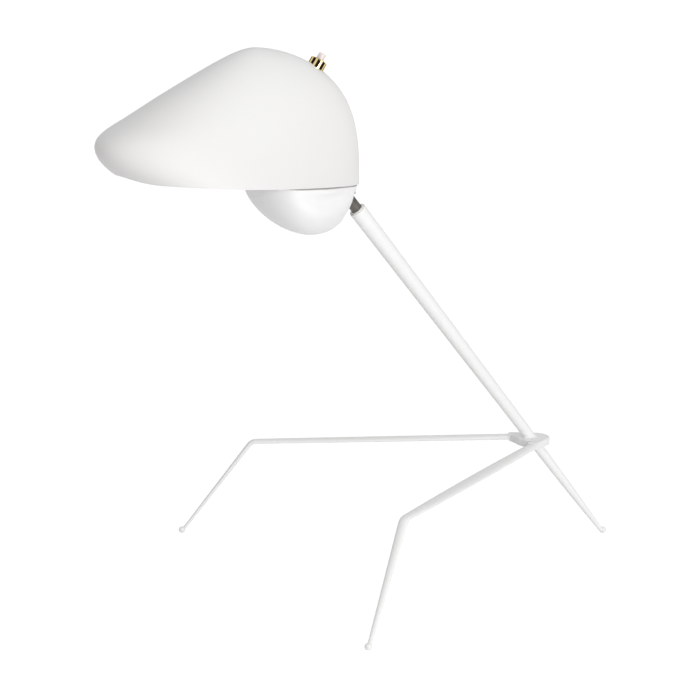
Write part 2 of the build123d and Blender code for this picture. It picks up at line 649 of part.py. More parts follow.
def make_holder_shell():
    shell = tube(HOLDER_PLANE, HOLDER_RADIUS, 0, HOLDER_LENGTH, NIPPLE_RADIUS + FIT_CLEARANCE)
    return shell - tube(HOLDER_PLANE, HOLDER_RADIUS - HOLDER_WALL, HOLDER_BASE, HOLDER_LENGTH + 1)


def make_nipple():
    """Threaded tube through the lampholder's base and the strap; its collar is inside the base."""
    nipple = tube(HOLDER_PLANE, NIPPLE_RADIUS, -NIPPLE_TAIL, HOLDER_BASE + NIPPLE_COLLAR)
    nipple += tube(HOLDER_PLANE, NIPPLE_COLLAR_RADIUS, HOLDER_BASE, HOLDER_BASE + NIPPLE_COLLAR)
    return nipple - tube(HOLDER_PLANE, NIPPLE_BORE_RADIUS, -NIPPLE_TAIL - 1, CORE_START)


def make_holder_nut():
    start = -STRAP_THICKNESS - NUT_THICKNESS
    return hexagon(HOLDER_PLANE, NUT_FLATS, start, -STRAP_THICKNESS, NIPPLE_RADIUS)


def make_holder_core():
    """Ceramic body inside the shell, with two wire holes."""
    radius = HOLDER_RADIUS - HOLDER_WALL - FIT_CLEARANCE
    core = tube(HOLDER_PLANE, radius, CORE_START, CORE_START + CORE_LENGTH)
    for side in (-1, 1):
        at_hole = HOLDER_PLANE.location * Pos(side * LEAD_IN_NIPPLE, 0, CORE_START)
        core -= at_hole * Cylinder(LEAD_RADIUS + FIT_CLEARANCE, 2 * LEAD_HOLE_DEPTH)
    return core


def make_holder_sleeve():
    start = CORE_START + CORE_LENGTH
    return tube(HOLDER_PLANE, SLEEVE_RADIUS, start, start + SLEEVE_LENGTH, SLEEVE_RADIUS - SLEEVE_WALL)


def make_holder_contact():
    start = CORE_START + CORE_LENGTH
    return tube(HOLDER_PLANE, CONTACT_RADIUS, start, start + CONTACT_LENGTH)


def make_bulb_tip():
    start = CORE_START + CORE_LENGTH + CONTACT_LENGTH
    return tube(HOLDER_PLANE, TIP_RADIUS, start, start + TIP_LENGTH)


def make_bulb_insulator():
    """Black glass cone between the tip and the screw cap."""
    end = CAP_RIM - CAP_LENGTH
    start = end - INSULATOR_LENGTH
    return turned([(0, start), (TIP_RADIUS, start), (CAP_RADIUS - CAP_WALL, end), (0, end)], HOLDER_PLANE)


def make_bulb_cap():
    start = CAP_RIM - CAP_LENGTH
    cap = tube(HOLDER_PLANE, CAP_RADIUS, start, CAP_RIM)
    return cap - tube(HOLDER_PLANE, CAP_RADIUS - CAP_WALL, start + CAP_WALL, CAP_RIM + 1)


def bulb_solid(inset):
    """Neck and globe of the bulb, or the room inside their glass."""
    root = CAP_RADIUS - CAP_WALL - inset
    neck = BULB_NECK_RADIUS - inset
    start = CAP_RIM - BULB_STEM_DEPTH - inset
    bend = CAP_RIM + (BULB_NECK_RADIUS - CAP_RADIUS)
    globe = HOLDER_PLANE.location * Pos(0, 0, GLOBE_CENTRE) * Sphere(BULB_RADIUS - inset)
    outline = [(0, start), (root, start), (root, CAP_RIM), (neck, bend), (neck, GLOBE_CENTRE), (0, GLOBE_CENTRE)]
    return turned(outline, HOLDER_PLANE) + globe


def make_bulb_glass():
    return single(bulb_solid(0) - bulb_solid(BULB_GLASS_WALL))


def make_switch_case():
    """Switch body below the strap and its threaded bush through strap, saddle and shade."""
    plane = switch_plane()
    top = -STRAP_SEAT - STRAP_THICKNESS
    bottom = top - SWITCH_LENGTH
    ledge = top - SWITCH_WALL
    case = tube(plane, SWITCH_RADIUS, bottom, top) + tube(plane, BUSH_RADIUS, top - 1, BUSH_RISE)
    case -= tube(plane, BUTTON_RADIUS + TURN_CLEARANCE, ledge - 1, BUSH_RISE + 1)
    return case - tube(plane, BUTTON_COLLAR_RADIUS + FACE_CLEARANCE, bottom + SWITCH_WALL, ledge)


def make_saddle(shade_inner):
    """Packing between the strap's seat and the curved skin."""
    saddle = tube(switch_plane(), SADDLE_RADIUS, -STRAP_SEAT, 0, BUSH_RADIUS + FIT_CLEARANCE)
    return single(saddle & shade_inner)


def make_switch_terminals():
    plane = switch_plane()
    top = -STRAP_SEAT - STRAP_THICKNESS - SWITCH_LENGTH
    pins = []
    for side in (-1, 1):
        pin = Pos(side * TERMINAL_SPACING / 2, 0, top) * Cylinder(
            TERMINAL_RADIUS, TERMINAL_LENGTH, align=(Align.CENTER, Align.CENTER, Align.MAX)
        )
        pins.append(single(plane.location * pin))
    return Compound(children=pins)


def make_bezel_nut(shade_outer):
    """Fluted ring nut on the bush, its base shaped to the skin."""
    plane = switch_plane()
    nut = Pos(0, 0, BEZEL_RISE) * Cylinder(
        BEZEL_RADIUS, BEZEL_RISE + BEZEL_RADIUS, align=(Align.CENTER, Align.CENTER, Align.MAX)
    )
    nut = chamfer(nut.edges().sort_by(Axis.Z)[-1], BEZEL_CHAMFER)
    for index in range(BEZEL_FLUTES):
        flute = Rot(0, 0, index * 360 / BEZEL_FLUTES) * Pos(BEZEL_RADIUS + BEZEL_FLUTE_RADIUS / 2, 0, 0)
        nut -= flute * Cylinder(BEZEL_FLUTE_RADIUS, 4 * BEZEL_RADIUS)
    nut = plane.location * nut
    nut -= tube(plane, BUSH_RADIUS, -2 * BEZEL_RADIUS, 2 * BEZEL_RADIUS)
    return single(nut - shade_outer)


def make_button():
    """Plunger in the bush, held in by a collar below the ledge of the case."""
    plane = switch_plane()
    ledge = -STRAP_SEAT - STRAP_THICKNESS - SWITCH_WALL
    tip = BUSH_RISE + BUTTON_RISE
    stem = Pos(0, 0, ledge - BUTTON_COLLAR) * Cylinder(
        BUTTON_RADIUS, tip - ledge + BUTTON_COLLAR, align=(Align.CENTER, Align.CENTER, Align.MIN)
    )
    stem = fillet(stem.edges().sort_by(Axis.Z)[-1], BUTTON_ROUND)
    stem += Pos(0, 0, ledge) * Cylinder(
        BUTTON_COLLAR_RADIUS, BUTTON_COLLAR, align=(Align.CENTER, Align.CENTER, Align.MAX)
    )
    return plane.location * stem


def make_switch_leads():
    """Two insulated leads from the terminals, past the strap, into the nipple and the core."""
    plane = switch_plane()
    tip = -STRAP_SEAT - STRAP_THICKNESS - SWITCH_LENGTH - TERMINAL_LENGTH
    leads = []
    for side in (-1, 1):
        points = [plane.from_local_coords((side * TERMINAL_SPACING / 2, 0, tip))]
        for behind, beside, above in LEAD_ROUTE:
            points.append(Vector(HOLDER_X + behind, side * beside, HOLDER_Z + above))
        run = Spline(*points, tangents=(plane.z_dir * -1, Vector(-1, 0, 0)))
        into_core = Line(run @ 1, Vector(HOLDER_X - CORE_START - 1, side * LEAD_IN_NIPPLE, HOLDER_Z))
        lead = sweep(Plane(origin=run @ 0, z_dir=run % 0) * Circle(LEAD_RADIUS), path=run)
        lead += sweep(Plane(origin=run @ 1, z_dir=(-1, 0, 0)) * Circle(LEAD_RADIUS), path=into_core)
        leads.append(single(lead))
    return Compound(children=leads)


shade_outer = shade_body(0)
shade_inner = shade_body(SHADE_WALL)
rear_leg = make_rear_leg()

save(make_hub(), "hub_plate")
save(make_outlet(), "outlet_tube")
save(rear_leg, "rear_leg")
save(make_foot(0, 0, rear_leg), "rear_foot")
for side, name in ((-1, "near"), (1, "far")):
    leg = make_front_leg(side)
    save(leg, f"front_leg_{name}")
    save(make_foot(HUB_X - FOOT_REACH, side * FOOT_SPREAD, leg), f"front_foot_{name}")
save(make_arm(), "arm_tube")
save(make_arm_plug(), "arm_plug")
save(make_washer(), "swivel_washer")
save(make_ball_stem(), "ball_stem")
save(make_stem_nut(), "stem_nut")
save(make_race(), "ball_race")
save(make_socket_lower(), "socket_lower")
save(make_socket_upper(), "socket_upper")
save(make_clamp_screws(), "clamp_screws")
save(make_shade(shade_outer, shade_inner), "shade")
save(make_jaw(), "lower_jaw")
save(make_spine_strap(), "spine_strap")
save(make_holder_shell(), "holder_shell")
save(make_nipple(), "holder_nipple")
save(make_holder_nut(), "holder_nut")
save(make_holder_core(), "holder_core")
save(make_holder_sleeve(), "holder_sleeve")
save(make_holder_contact(), "holder_contact")
save(make_bulb_tip(), "bulb_tip")
save(make_bulb_insulator(), "bulb_insulator")
save(make_bulb_cap(), "bulb_cap")
save(make_bulb_glass(), "bulb_glass")
save(make_switch_case(), "switch_case")
save(make_saddle(shade_inner), "switch_saddle")
save(make_switch_terminals(), "switch_terminals")
save(make_bezel_nut(shade_outer), "bezel_nut")
save(make_button(), "push_button")
save(make_switch_leads(), "switch_leads")
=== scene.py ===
import json
import math

import bpy
from mathutils import Matrix, Vector

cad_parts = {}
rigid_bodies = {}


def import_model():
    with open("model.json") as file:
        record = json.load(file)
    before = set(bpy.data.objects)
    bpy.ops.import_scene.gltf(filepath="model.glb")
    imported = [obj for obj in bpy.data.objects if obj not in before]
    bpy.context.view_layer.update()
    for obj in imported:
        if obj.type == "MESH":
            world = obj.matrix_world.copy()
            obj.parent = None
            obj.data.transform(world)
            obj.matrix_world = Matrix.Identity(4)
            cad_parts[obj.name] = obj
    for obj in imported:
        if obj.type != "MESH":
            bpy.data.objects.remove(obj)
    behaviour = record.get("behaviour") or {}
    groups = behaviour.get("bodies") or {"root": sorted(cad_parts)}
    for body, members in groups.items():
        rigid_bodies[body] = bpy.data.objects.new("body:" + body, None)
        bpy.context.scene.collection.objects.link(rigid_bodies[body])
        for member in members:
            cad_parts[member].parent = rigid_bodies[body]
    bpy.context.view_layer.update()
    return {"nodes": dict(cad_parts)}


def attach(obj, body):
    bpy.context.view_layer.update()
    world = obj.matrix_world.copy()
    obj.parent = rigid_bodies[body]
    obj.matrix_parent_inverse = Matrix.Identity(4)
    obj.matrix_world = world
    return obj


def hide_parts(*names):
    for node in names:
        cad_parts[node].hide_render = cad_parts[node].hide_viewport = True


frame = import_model()

# Metres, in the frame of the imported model: the origin is the rear foot's sole, +Z is up and the
# shade points towards -X. Lengths below that are written in millimetres are turned by MM.
MM = 0.001

# Camera: angles in degrees round the lamp, its place, its lens and how far it sees.
CAMERA_AZIMUTH = -27.8
CAMERA_ELEVATION = 11.8
CAMERA_PLACE = (-0.8618, -1.2485, 0.4473)
CAMERA_LENS = 113.14
CAMERA_SENSOR = 36.0
CAMERA_REACH = 60.0

# Places and directions on the lamp that pieces and materials are set by.
STRUT_ANGLE = math.radians(51.0)
STRUT_DIRECTION = Vector((-math.cos(STRUT_ANGLE), 0.0, math.sin(STRUT_ANGLE)))
STRUT_BACK = Vector((math.sin(STRUT_ANGLE), 0.0, math.cos(STRUT_ANGLE)))
BALL_CENTRE = STRUT_DIRECTION * 353.0 * MM
CLAMP_CIRCLE = 12.9 * MM
HUB_TOP = 77.6 * MM
ARM_FOOT_X = -HUB_TOP / math.tan(STRUT_ANGLE)
HOLDER_PLACE = Vector((-220.0, 0.0, 306.0)) * MM
HOLDER_DIRECTION = Vector((-1.0, 0.0, 0.0))
SWITCH_TILT = math.radians(33.5)
SWITCH_DIRECTION = Vector((math.sin(SWITCH_TILT), 0.0, math.cos(SWITCH_TILT)))
SWITCH_PLACE = Vector((-228.0, 0.0, 338.3)) * MM
BEZEL_TOP = SWITCH_PLACE.dot(SWITCH_DIRECTION) + 4.3 * MM
RIM_REAR = Vector((-198.0, 0.0, 261.9)) * MM
RIM_NORMAL = Vector((0.073, 0.0, 1.0)).normalized()

# How close corners lie to be merged, and how near a corner is to count as at a level.
MERGE_DISTANCE = 0.001 * MM
LEVEL_TOLERANCE = 0.01 * MM

# Smooth shading: edges that turn by more than these degrees stay sharp.
PLAIN_ANGLE = 35.0
FLUTED_ANGLE = 30.0
ROUND_ANGLE = 60.0

# Lathe profiles in millimetres: distance along the axis, then radius.
BRAZE_PROFILE = [(0, 4.7), (0.12, 4.35), (0.4, 4.0), (0.9, 3.82), (0.9, 3.4), (0, 3.4), (0, 4.7)]
SCREW_PROFILE = [
    (-4.5, 0),
    (-4.5, 1.35),
    (-4.4, 1.58),
    (-4.15, 1.7),
    (-2.5, 1.7),
    (-2.5, 1.0),
    (4.3, 1.0),
    (4.5, 0.8),
    (4.5, 0),
]
SHELL_PROFILE = [
    (0, 5.1),
    (0, 9.8),
    (0.35, 10.6),
    (1.1, 11.0),
    (4.4, 11.0),
    (4.7, 10.7),
    (19.3, 10.7),
    (19.6, 11.0),
    (23.0, 11.0),
    (23.3, 10.6),
    (30.2, 10.6),
    (30.5, 11.0),
    (33.3, 11.0),
    (33.9, 10.6),
    (34.0, 10.2),
    (34.0, 9.7),
    (33.5, 9.2),
    (3.0, 9.2),
    (3.0, 5.1),
    (0, 5.1),
]
RING_PROFILE = [
    (-1.7, 4.0),
    (-1.7, 5.6),
    (-1.5, 5.6),
    (4.05, 5.6),
    (4.4, 5.25),
    (4.4, 4.2),
    (4.2, 4.0),
    (-1.7, 4.0),
]

# Flutes: where they start and end along the axis, the distance from it that picks the side's
# faces, their pitch and width in steps of the lathe, then the size of their walls.
RING_FLUTE = {
    "start": -1.5 * MM,
    "end": 4.05 * MM,
    "beyond": 5.4 * MM,
    "pitch": 6,
    "width": 4,
    "rim": 0.12 * MM,
    "slope": 0.15 * MM,
    "depth": 0.6 * MM,
}
SHELL_FLUTE = {
    "start": 4.7 * MM,
    "end": 19.3 * MM,
    "beyond": 10.5 * MM,
    "pitch": 4,
    "width": 2,
    "rim": 0.15 * MM,
    "slope": 0.25 * MM,
    "depth": 0.5 * MM,
}

# Painted shade on the bezel: radius within which its flutes are painted near-black for the shade
# and dark reflections in them, the one past which they keep the brass, and the width of its top edge,
# left unpainted.
GROOVE_DARK_RADIUS = 5.25 * MM
GROOVE_BRIGHT_RADIUS = 5.56 * MM
BEZEL_EDGE = 0.2 * MM

# Hexagon socket of the clamp screws, and the turn from one screw to the next in degrees.
SCREW_SOCKET_RADIUS = 0.9 * MM
SCREW_SOCKET_DEPTH = 1.0 * MM
SCREW_TURN = 120.0

# Painted shadow, a dark bead for the shadow in the gap under the shade's rim: how far it lies under
# the rim, how thick it is and how close its points stand.
SEAM_DROP = 0.8 * MM
SEAM_RADIUS = 0.42 * MM
SEAM_SPACING = 0.4 * MM

# Steps round each turned piece and round the floor.
BRAZE_STEPS = 72
SCREW_STEPS = 32
RING_STEPS = 60
SHELL_STEPS = 96
BULB_STEPS = 96
FLOOR_STEPS = 96

# Bulb in millimetres, measured along the lampholder's axis and out from it.
BULB_ROOT = [(35.5, 0), (35.5, 6.45), (38.6, 6.45), (39.1, 7.35), (39.8, 7.85)]
BULB_NECK_RADIUS = 8.0
BULB_NECK_BLEND = 6.0
BULB_RADIUS = 22.5
BULB_CENTRE = 65.5
NECK_STEPS = 8
GLOBE_STEPS = 36

# Colours: linear red, green and blue, then alpha.
SHADE_WHITE = (0.870, 0.865, 0.859, 1.0)
SHADE_WARM = (0.850, 0.838, 0.825, 1.0)
# Painted light: the shade, the jaw and the stand wear one white paint, and the whiter copies for the jaw
# and the stand stand in for the bright bounce from the floor on the jaw and on the thin legs.
JAW_PAINTED_LIGHT_WHITE = (0.950, 0.948, 0.945, 1.0)
JAW_PAINTED_LIGHT_WARM = (0.930, 0.925, 0.918, 1.0)
STAND_PAINTED_LIGHT_WHITE = (0.920, 0.917, 0.913, 1.0)
STAND_PAINTED_LIGHT_WARM = (0.900, 0.893, 0.884, 1.0)
# Painted shadow: greys of the bead that stands in for the shadow in the gap under the shade's rim.
SEAM_SHADOW_GREY = (0.42, 0.41, 0.40, 1.0)
SEAM_SHADOW_DARK = (0.24, 0.235, 0.23, 1.0)
ENAMEL_DUST = (0.55, 0.52, 0.48, 1.0)
NYLON = (0.91, 0.905, 0.89, 1.0)
NYLON_WORN = (0.80, 0.795, 0.78, 1.0)
STEM_STEEL = (0.15, 0.14, 0.13, 1.0)
STEM_STEEL_DARK = (0.06, 0.056, 0.052, 1.0)
ZINC = (0.58, 0.58, 0.57, 1.0)
ZINC_DARK = (0.42, 0.42, 0.42, 1.0)
ACETAL = (0.83, 0.82, 0.77, 1.0)
ACETAL_DARK = (0.70, 0.68, 0.62, 1.0)
BRASS = (0.80, 0.63, 0.33, 1.0)
BRASS_DULL = (0.38, 0.27, 0.12, 1.0)
# Painted shade: near-black for the shade and dark reflections in the bezel's flutes.
BRASS_PAINTED_FLUTE_SHADE = (0.012, 0.010, 0.006, 1.0)
PHENOLIC = (0.025, 0.023, 0.022, 1.0)
PHENOLIC_DUSTY = (0.06, 0.05, 0.045, 1.0)
STEATITE = (0.80, 0.78, 0.73, 1.0)
STEATITE_DARK = (0.62, 0.60, 0.55, 1.0)
NICKEL = (0.66, 0.65, 0.62, 1.0)
NICKEL_DULL = (0.40, 0.39, 0.36, 1.0)
VITRITE = (0.015, 0.015, 0.020, 1.0)
VITRITE_DUSTY = (0.03, 0.03, 0.04, 1.0)
OPAL = (0.93, 0.92, 0.90, 1.0)
OPAL_THIN = (0.86, 0.86, 0.85, 1.0)
BUTTON = (0.87, 0.79, 0.76, 1.0)
BUTTON_WORN = (0.80, 0.69, 0.65, 1.0)
LEAD_BLACK = (0.03, 0.03, 0.03, 1.0)
LEAD_DUSTY = (0.06, 0.06, 0.06, 1.0)
FLOOR_WHITE = (0.94, 0.94, 0.94, 1.0)
FLOOR_GREY = (0.92, 0.92, 0.92, 1.0)
FLOOR_LIFT_NEAR = (0.44, 0.44, 0.44, 1.0)
FLOOR_LIFT_FAR = (0.56, 0.56, 0.56, 1.0)
BACKDROP_WHITE = (1.0, 1.0, 1.0, 1.0)

# Noise scales of the finishes, per metre: a larger one is finer.
CLOUD_SCALE = 9.0
SHEEN_SCALE = 30.0
DUST_SCALE = 650.0
PEEL_SCALE = 420.0
FINE_PEEL_SCALE = 1900.0
TARNISH_SCALE = 260.0
SPANGLE_SCALE = 480.0
ZINC_CLOUD_SCALE = 120.0
MOTTLE_SCALE = 140.0
GRAIN_SCALE = 2600.0
FROST_SCALE = 3200.0
GLASS_CLOUD_SCALE = 60.0
FLOOR_CLOUD_SCALE = 3.0

# Studio: light from all round, weaker from the lamp's two ends, one softbox in front, and a floor
# that brightens between two distances from the lamp.
WORLD_FRONT = 0.95
WORLD_FALL = 0.85
LAMP_CENTRE = (-0.18, 0.0, 0.20)
KEY_PLACE = (-0.35, -2.46, 0.60)
KEY_WIDTH = 2.0
KEY_HEIGHT = 0.64
KEY_POWER = 27.5
FLOOR_RADIUS = 14.0
FLOOR_NEAR = 0.45
FLOOR_FAR = 2.4


class Value:
    """A number in a material's node tree that takes part in plain arithmetic."""

    def __init__(self, finish, socket):
        self.finish = finish
        self.socket = socket

    def combine(self, operation, first, second):
        return self.finish.node("ShaderNodeMath", {"operation": operation}, {0: first, 1: second})

    def __add__(self, other):
        return self.combine("ADD", self, other)

    def __radd__(self, other):
        return self.combine("ADD", other, self)

    def __sub__(self, other):
        return self.combine("SUBTRACT", self, other)

    def __rsub__(self, other):
        return self.combine("SUBTRACT", other, self)

    def __mul__(self, other):
        return self.combine("MULTIPLY", self, other)

    def __rmul__(self, other):
        return self.combine("MULTIPLY", other, self)


class Finish:
    """The nodes of a material, round its Principled shader, or of the world."""

    def __init__(self, owner, place="Object"):
        owner.use_nodes = True
        self.owner = owner
        self.tree = owner.node_tree
        self.place = self.node("ShaderNodeTexCoord", output=place)

    def node(self, kind, settings=None, sockets=None, output=0):
        """Adds a node, sets it, then fills its sockets with values or links."""
        node = self.tree.nodes.new(kind)
        for key, setting in (settings or {}).items():
            setattr(node, key, setting)
        self.fill(node, sockets or {})
        return Value(self, node.outputs[output])

    def fill(self, node, sockets):
        for key, item in sockets.items():
            if isinstance(item, Value):
                self.tree.links.new(item.socket, node.inputs[key])
            else:
                node.inputs[key].default_value = item

    def principled(self, sockets):
        self.fill(self.tree.nodes["Principled BSDF"], sockets)
        return self.owner

    def noise(self, scale, detail=2.0):
        sockets = {"Vector": self.place, "Scale": scale, "Detail": detail}
        return self.node("ShaderNodeTexNoise", {"noise_dimensions": "3D"}, sockets)

    def mix(self, share, first, second):
        """Colour between two colours."""
        settings = {"data_type": "RGBA", "clamp_factor": True}
        return self.node("ShaderNodeMix", settings, {0: share, 6: first, 7: second}, output=2)

    def vector(self, operation, first, second, output=0):
        return self.node("ShaderNodeVectorMath", {"operation": operation}, {0: first, 1: second}, output)

    def along(self, direction):
        """How far a point lies along a direction from the origin, in metres."""
        return self.vector("DOT_PRODUCT", self.place, direction, "Value")

    def window(self, value, low, high):
        """0 below low, 1 above high, and smooth between."""
        sockets = {"Value": value, "From Min": low, "From Max": high}
        return self.node("ShaderNodeMapRange", {"interpolation_type": "SMOOTHSTEP"}, sockets)

    def bump(self, height, distance, strength):
        sockets = {"Height": height, "Distance": distance, "Strength": strength}
        return self.node("ShaderNodeBump", None, sockets, "Normal")

    def seen(self):
        """1 for what the camera sees, directly or by a mirror or glass, and 0 for light."""
        rays = ("Is Camera Ray", "Is Glossy Ray", "Is Transmission Ray")
        camera, mirror, glass = (self.node("ShaderNodeLightPath", output=ray) for ray in rays)
        return camera + mirror + glass

    def tarnish(self):
        """Patches of tarnish on metal, from 0 to 1."""
        return self.window(self.noise(TARNISH_SCALE, detail=3.0), 0.45, 0.75)

    def rings(self, direction, pitch):
        """Turning marks: a number that changes only along a direction, over about one pitch."""
        sockets = {"W": self.along(direction) * (1.0 / pitch), "Scale": 1.0, "Detail": 3.0}
        return self.node("ShaderNodeTexNoise", {"noise_dimensions": "1D"}, sockets)

    def from_axis(self, point, direction):
        """Distance of a point from a line."""
        offset = self.vector("SUBTRACT", self.place, point)
        lever = self.vector("CROSS_PRODUCT", offset, direction)
        return self.node("ShaderNodeVectorMath", {"operation": "LENGTH"}, {0: lever}, "Value")


def enamel(name, white, warm, peel, roughness):
    """Sprayed satin enamel: slightly uneven in tone, with orange peel and specks of dust."""
    finish = Finish(bpy.data.materials.new(name))
    cloud = finish.window(finish.noise(CLOUD_SCALE, detail=3.0), 0.35, 0.75)
    speck = finish.window(finish.noise(DUST_SCALE), 0.70, 0.78)
    colour = finish.mix(cloud * 0.35, white, warm)
    colour = finish.mix(speck * 0.06, colour, ENAMEL_DUST)
    skin = finish.noise(PEEL_SCALE, detail=3.0) * 0.7 + finish.noise(FINE_PEEL_SCALE) * 0.3
    return finish.principled(
        {
            "Base Color": colour,
            "Roughness": finish.noise(SHEEN_SCALE) * 0.10 + roughness,
            "Normal": finish.bump(skin, distance=peel, strength=0.6),
            "Specular IOR Level": 0.2,
        }
    )


def turned_metal(name, bright, dull, direction, pitch, roughness):
    """Metal turned on a lathe: rings round its axis, duller in places."""
    finish = Finish(bpy.data.materials.new(name))
    rings = finish.rings(direction, pitch)
    tarnish = finish.tarnish()
    return finish.principled(
        {
            "Base Color": finish.mix(tarnish * 0.55 + rings * 0.2, bright, dull),
            "Metallic": 1.0,
            "Roughness": rings * 0.14 + tarnish * 0.12 + roughness,
            "Normal": finish.bump(rings, distance=0.006 * MM, strength=0.7),
        }
    )


def fluted_brass(name):
    """Polished brass ring nut, with painted shade: near-black in the bottoms of its flutes."""
    finish = Finish(bpy.data.materials.new(name))
    reach = finish.from_axis(SWITCH_PLACE, SWITCH_DIRECTION)
    painted_flute_shade = 1.0 - finish.window(reach, GROOVE_DARK_RADIUS, GROOVE_BRIGHT_RADIUS)
    rings = finish.rings(SWITCH_DIRECTION, pitch=0.3 * MM)
    tarnish = finish.tarnish()
    colour = finish.mix(tarnish * 0.4 + rings * 0.2, BRASS, BRASS_DULL)
    height = finish.along(SWITCH_DIRECTION)
    on_side = 1.0 - finish.window(height, BEZEL_TOP - BEZEL_EDGE, BEZEL_TOP)
    return finish.principled(
        {
            # Painted shade: the bottoms of the flutes turn near-black, except on the top edge.
            "Base Color": finish.mix(painted_flute_shade * on_side, colour, BRASS_PAINTED_FLUTE_SHADE),
            "Metallic": 1.0,
            "Roughness": rings * 0.1 + tarnish * 0.1 + 0.1,
            "Normal": finish.bump(rings, distance=0.004 * MM, strength=0.6),
        }
    )


def pressed_zinc(name):
    """Zinc-plated pressed steel with a faint spangle."""
    finish = Finish(bpy.data.materials.new(name))
    sockets = {"Vector": finish.place, "Scale": SPANGLE_SCALE}
    spangle = finish.node("ShaderNodeTexVoronoi", {"feature": "F1"}, sockets, "Distance")
    cloud = finish.noise(ZINC_CLOUD_SCALE, detail=3.0)
    return finish.principled(
        {
            "Base Color": finish.mix(spangle * 0.35 + cloud * 0.3, ZINC, ZINC_DARK),
            "Metallic": 1.0,
            "Roughness": cloud * 0.2 + 0.26,
            "Normal": finish.bump(spangle, distance=0.01 * MM, strength=0.5),
        }
    )


def moulded(name, colour, dark, roughness, grain=0.012 * MM):
    """Moulded or fired body with a fine grain and faint mottling."""
    finish = Finish(bpy.data.materials.new(name))
    mottle = finish.noise(MOTTLE_SCALE, detail=3.0)
    fine = finish.noise(GRAIN_SCALE)
    return finish.principled(
        {
            "Base Color": finish.mix(finish.window(mottle, 0.4, 0.8) * 0.3, colour, dark),
            "Roughness": mottle * 0.12 + roughness,
            "Normal": finish.bump(fine, distance=grain, strength=0.5),
        }
    )


def opal_glass(name):
    """Frosted white glass of the bulb, a little uneven in depth."""
    finish = Finish(bpy.data.materials.new(name))
    frost = finish.noise(FROST_SCALE)
    cloud = finish.noise(GLASS_CLOUD_SCALE)
    return finish.principled(
        {
            "Base Color": finish.mix(cloud * 0.4, OPAL, OPAL_THIN),
            "Roughness": frost * 0.1 + 0.28,
            "Coat Weight": cloud * 0.2 + 0.2,
            "Normal": finish.bump(frost, distance=0.008 * MM, strength=0.4),
        }
    )


# One white paint in three copies; the stand's and the jaw's are whiter as painted light.
STAND_ENAMEL = enamel("stand_enamel", STAND_PAINTED_LIGHT_WHITE, STAND_PAINTED_LIGHT_WARM, peel=0.004 * MM, roughness=0.36)
SHADE_ENAMEL = enamel("shade_enamel", SHADE_WHITE, SHADE_WARM, peel=0.010 * MM, roughness=0.42)
JAW_ENAMEL = enamel("jaw_enamel", JAW_PAINTED_LIGHT_WHITE, JAW_PAINTED_LIGHT_WARM, peel=0.010 * MM, roughness=0.42)
NYLON_FINISH = moulded("nylon_foot", NYLON, NYLON_WORN, roughness=0.42)
ACETAL_FINISH = moulded("acetal", ACETAL, ACETAL_DARK, roughness=0.35)
BLACK_PHENOLIC = moulded("black_phenolic", PHENOLIC, PHENOLIC_DUSTY, roughness=0.25)
CERAMIC = moulded("steatite", STEATITE, STEATITE_DARK, roughness=0.62, grain=0.03 * MM)
BLACK_GLASS = moulded("vitrite", VITRITE, VITRITE_DUSTY, roughness=0.1)
BUTTON_FINISH = moulded("button_plastic", BUTTON, BUTTON_WORN, roughness=0.22, grain=0.006 * MM)
LEAD_FINISH = moulded("lead_insulation", LEAD_BLACK, LEAD_DUSTY, roughness=0.45)
# Finish of the bead of painted shadow under the shade's rim.
SHADOW_BEAD_FINISH = moulded("seam_painted_shadow", SEAM_SHADOW_GREY, SEAM_SHADOW_DARK, roughness=0.5)
OPAL_GLASS = opal_glass("opal_glass")
PRESSED_ZINC = pressed_zinc("pressed_zinc")
FLUTED_BRASS = fluted_brass("bezel_brass")
STEEL = turned_metal(
    "stem_steel", STEM_STEEL, STEM_STEEL_DARK, STRUT_DIRECTION, pitch=0.4 * MM, roughness=0.28
)
HOLDER_BRASS = turned_metal(
    "holder_brass", BRASS, BRASS_DULL, HOLDER_DIRECTION, pitch=0.5 * MM, roughness=0.2
)
CAP_NICKEL = turned_metal(
    "nickel_cap", NICKEL, NICKEL_DULL, HOLDER_DIRECTION, pitch=0.6 * MM, roughness=0.16
)
NODE_FINISHES = {
    STAND_ENAMEL: ["hub_plate", "rear_leg", "front_leg_near", "front_leg_far", "arm_tube"],
    SHADE_ENAMEL: ["shade"],
    JAW_ENAMEL: ["lower_jaw"],
    NYLON_FINISH: ["rear_foot", "front_foot_near", "front_foot_far"],
    STEEL: ["ball_stem", "stem_nut", "arm_plug", "outlet_tube"],
    PRESSED_ZINC: ["socket_lower", "socket_upper", "clamp_screws", "spine_strap"],
    ACETAL_FINISH: ["ball_race", "swivel_washer"],
    FLUTED_BRASS: ["bezel_nut"],
    HOLDER_BRASS: [
        "holder_sleeve",
        "holder_contact",
        "holder_nipple",
        "holder_nut",
        "switch_terminals",
        "bulb_tip",
    ],
    BLACK_PHENOLIC: ["holder_shell", "switch_case", "switch_saddle"],
    CERAMIC: ["holder_core"],
    CAP_NICKEL: ["bulb_cap"],
    BLACK_GLASS: ["bulb_insulator"],
    OPAL_GLASS: ["bulb_glass"],
    BUTTON_FINISH: ["push_button"],
    LEAD_FINISH: ["switch_leads"],
}


def finish_nodes():
    for material, nodes in NODE_FINISHES.items():
        for node in nodes:
            slots = frame["nodes"][node].data.materials
            slots.clear()
            slots.append(material)


def deselect():
    if bpy.context.mode != "OBJECT":
        bpy.ops.object.mode_set(mode="OBJECT")
    bpy.ops.object.select_all(action="DESELECT")


def edit(piece, kind="VERT"):
    """Opens a piece in edit mode with nothing selected."""
    deselect()
    piece.select_set(True)
    bpy.context.view_layer.objects.active = piece
    bpy.ops.object.mode_set(mode="EDIT")
    bpy.ops.mesh.select_mode(type=kind)
    bpy.ops.mesh.select_all(action="DESELECT")


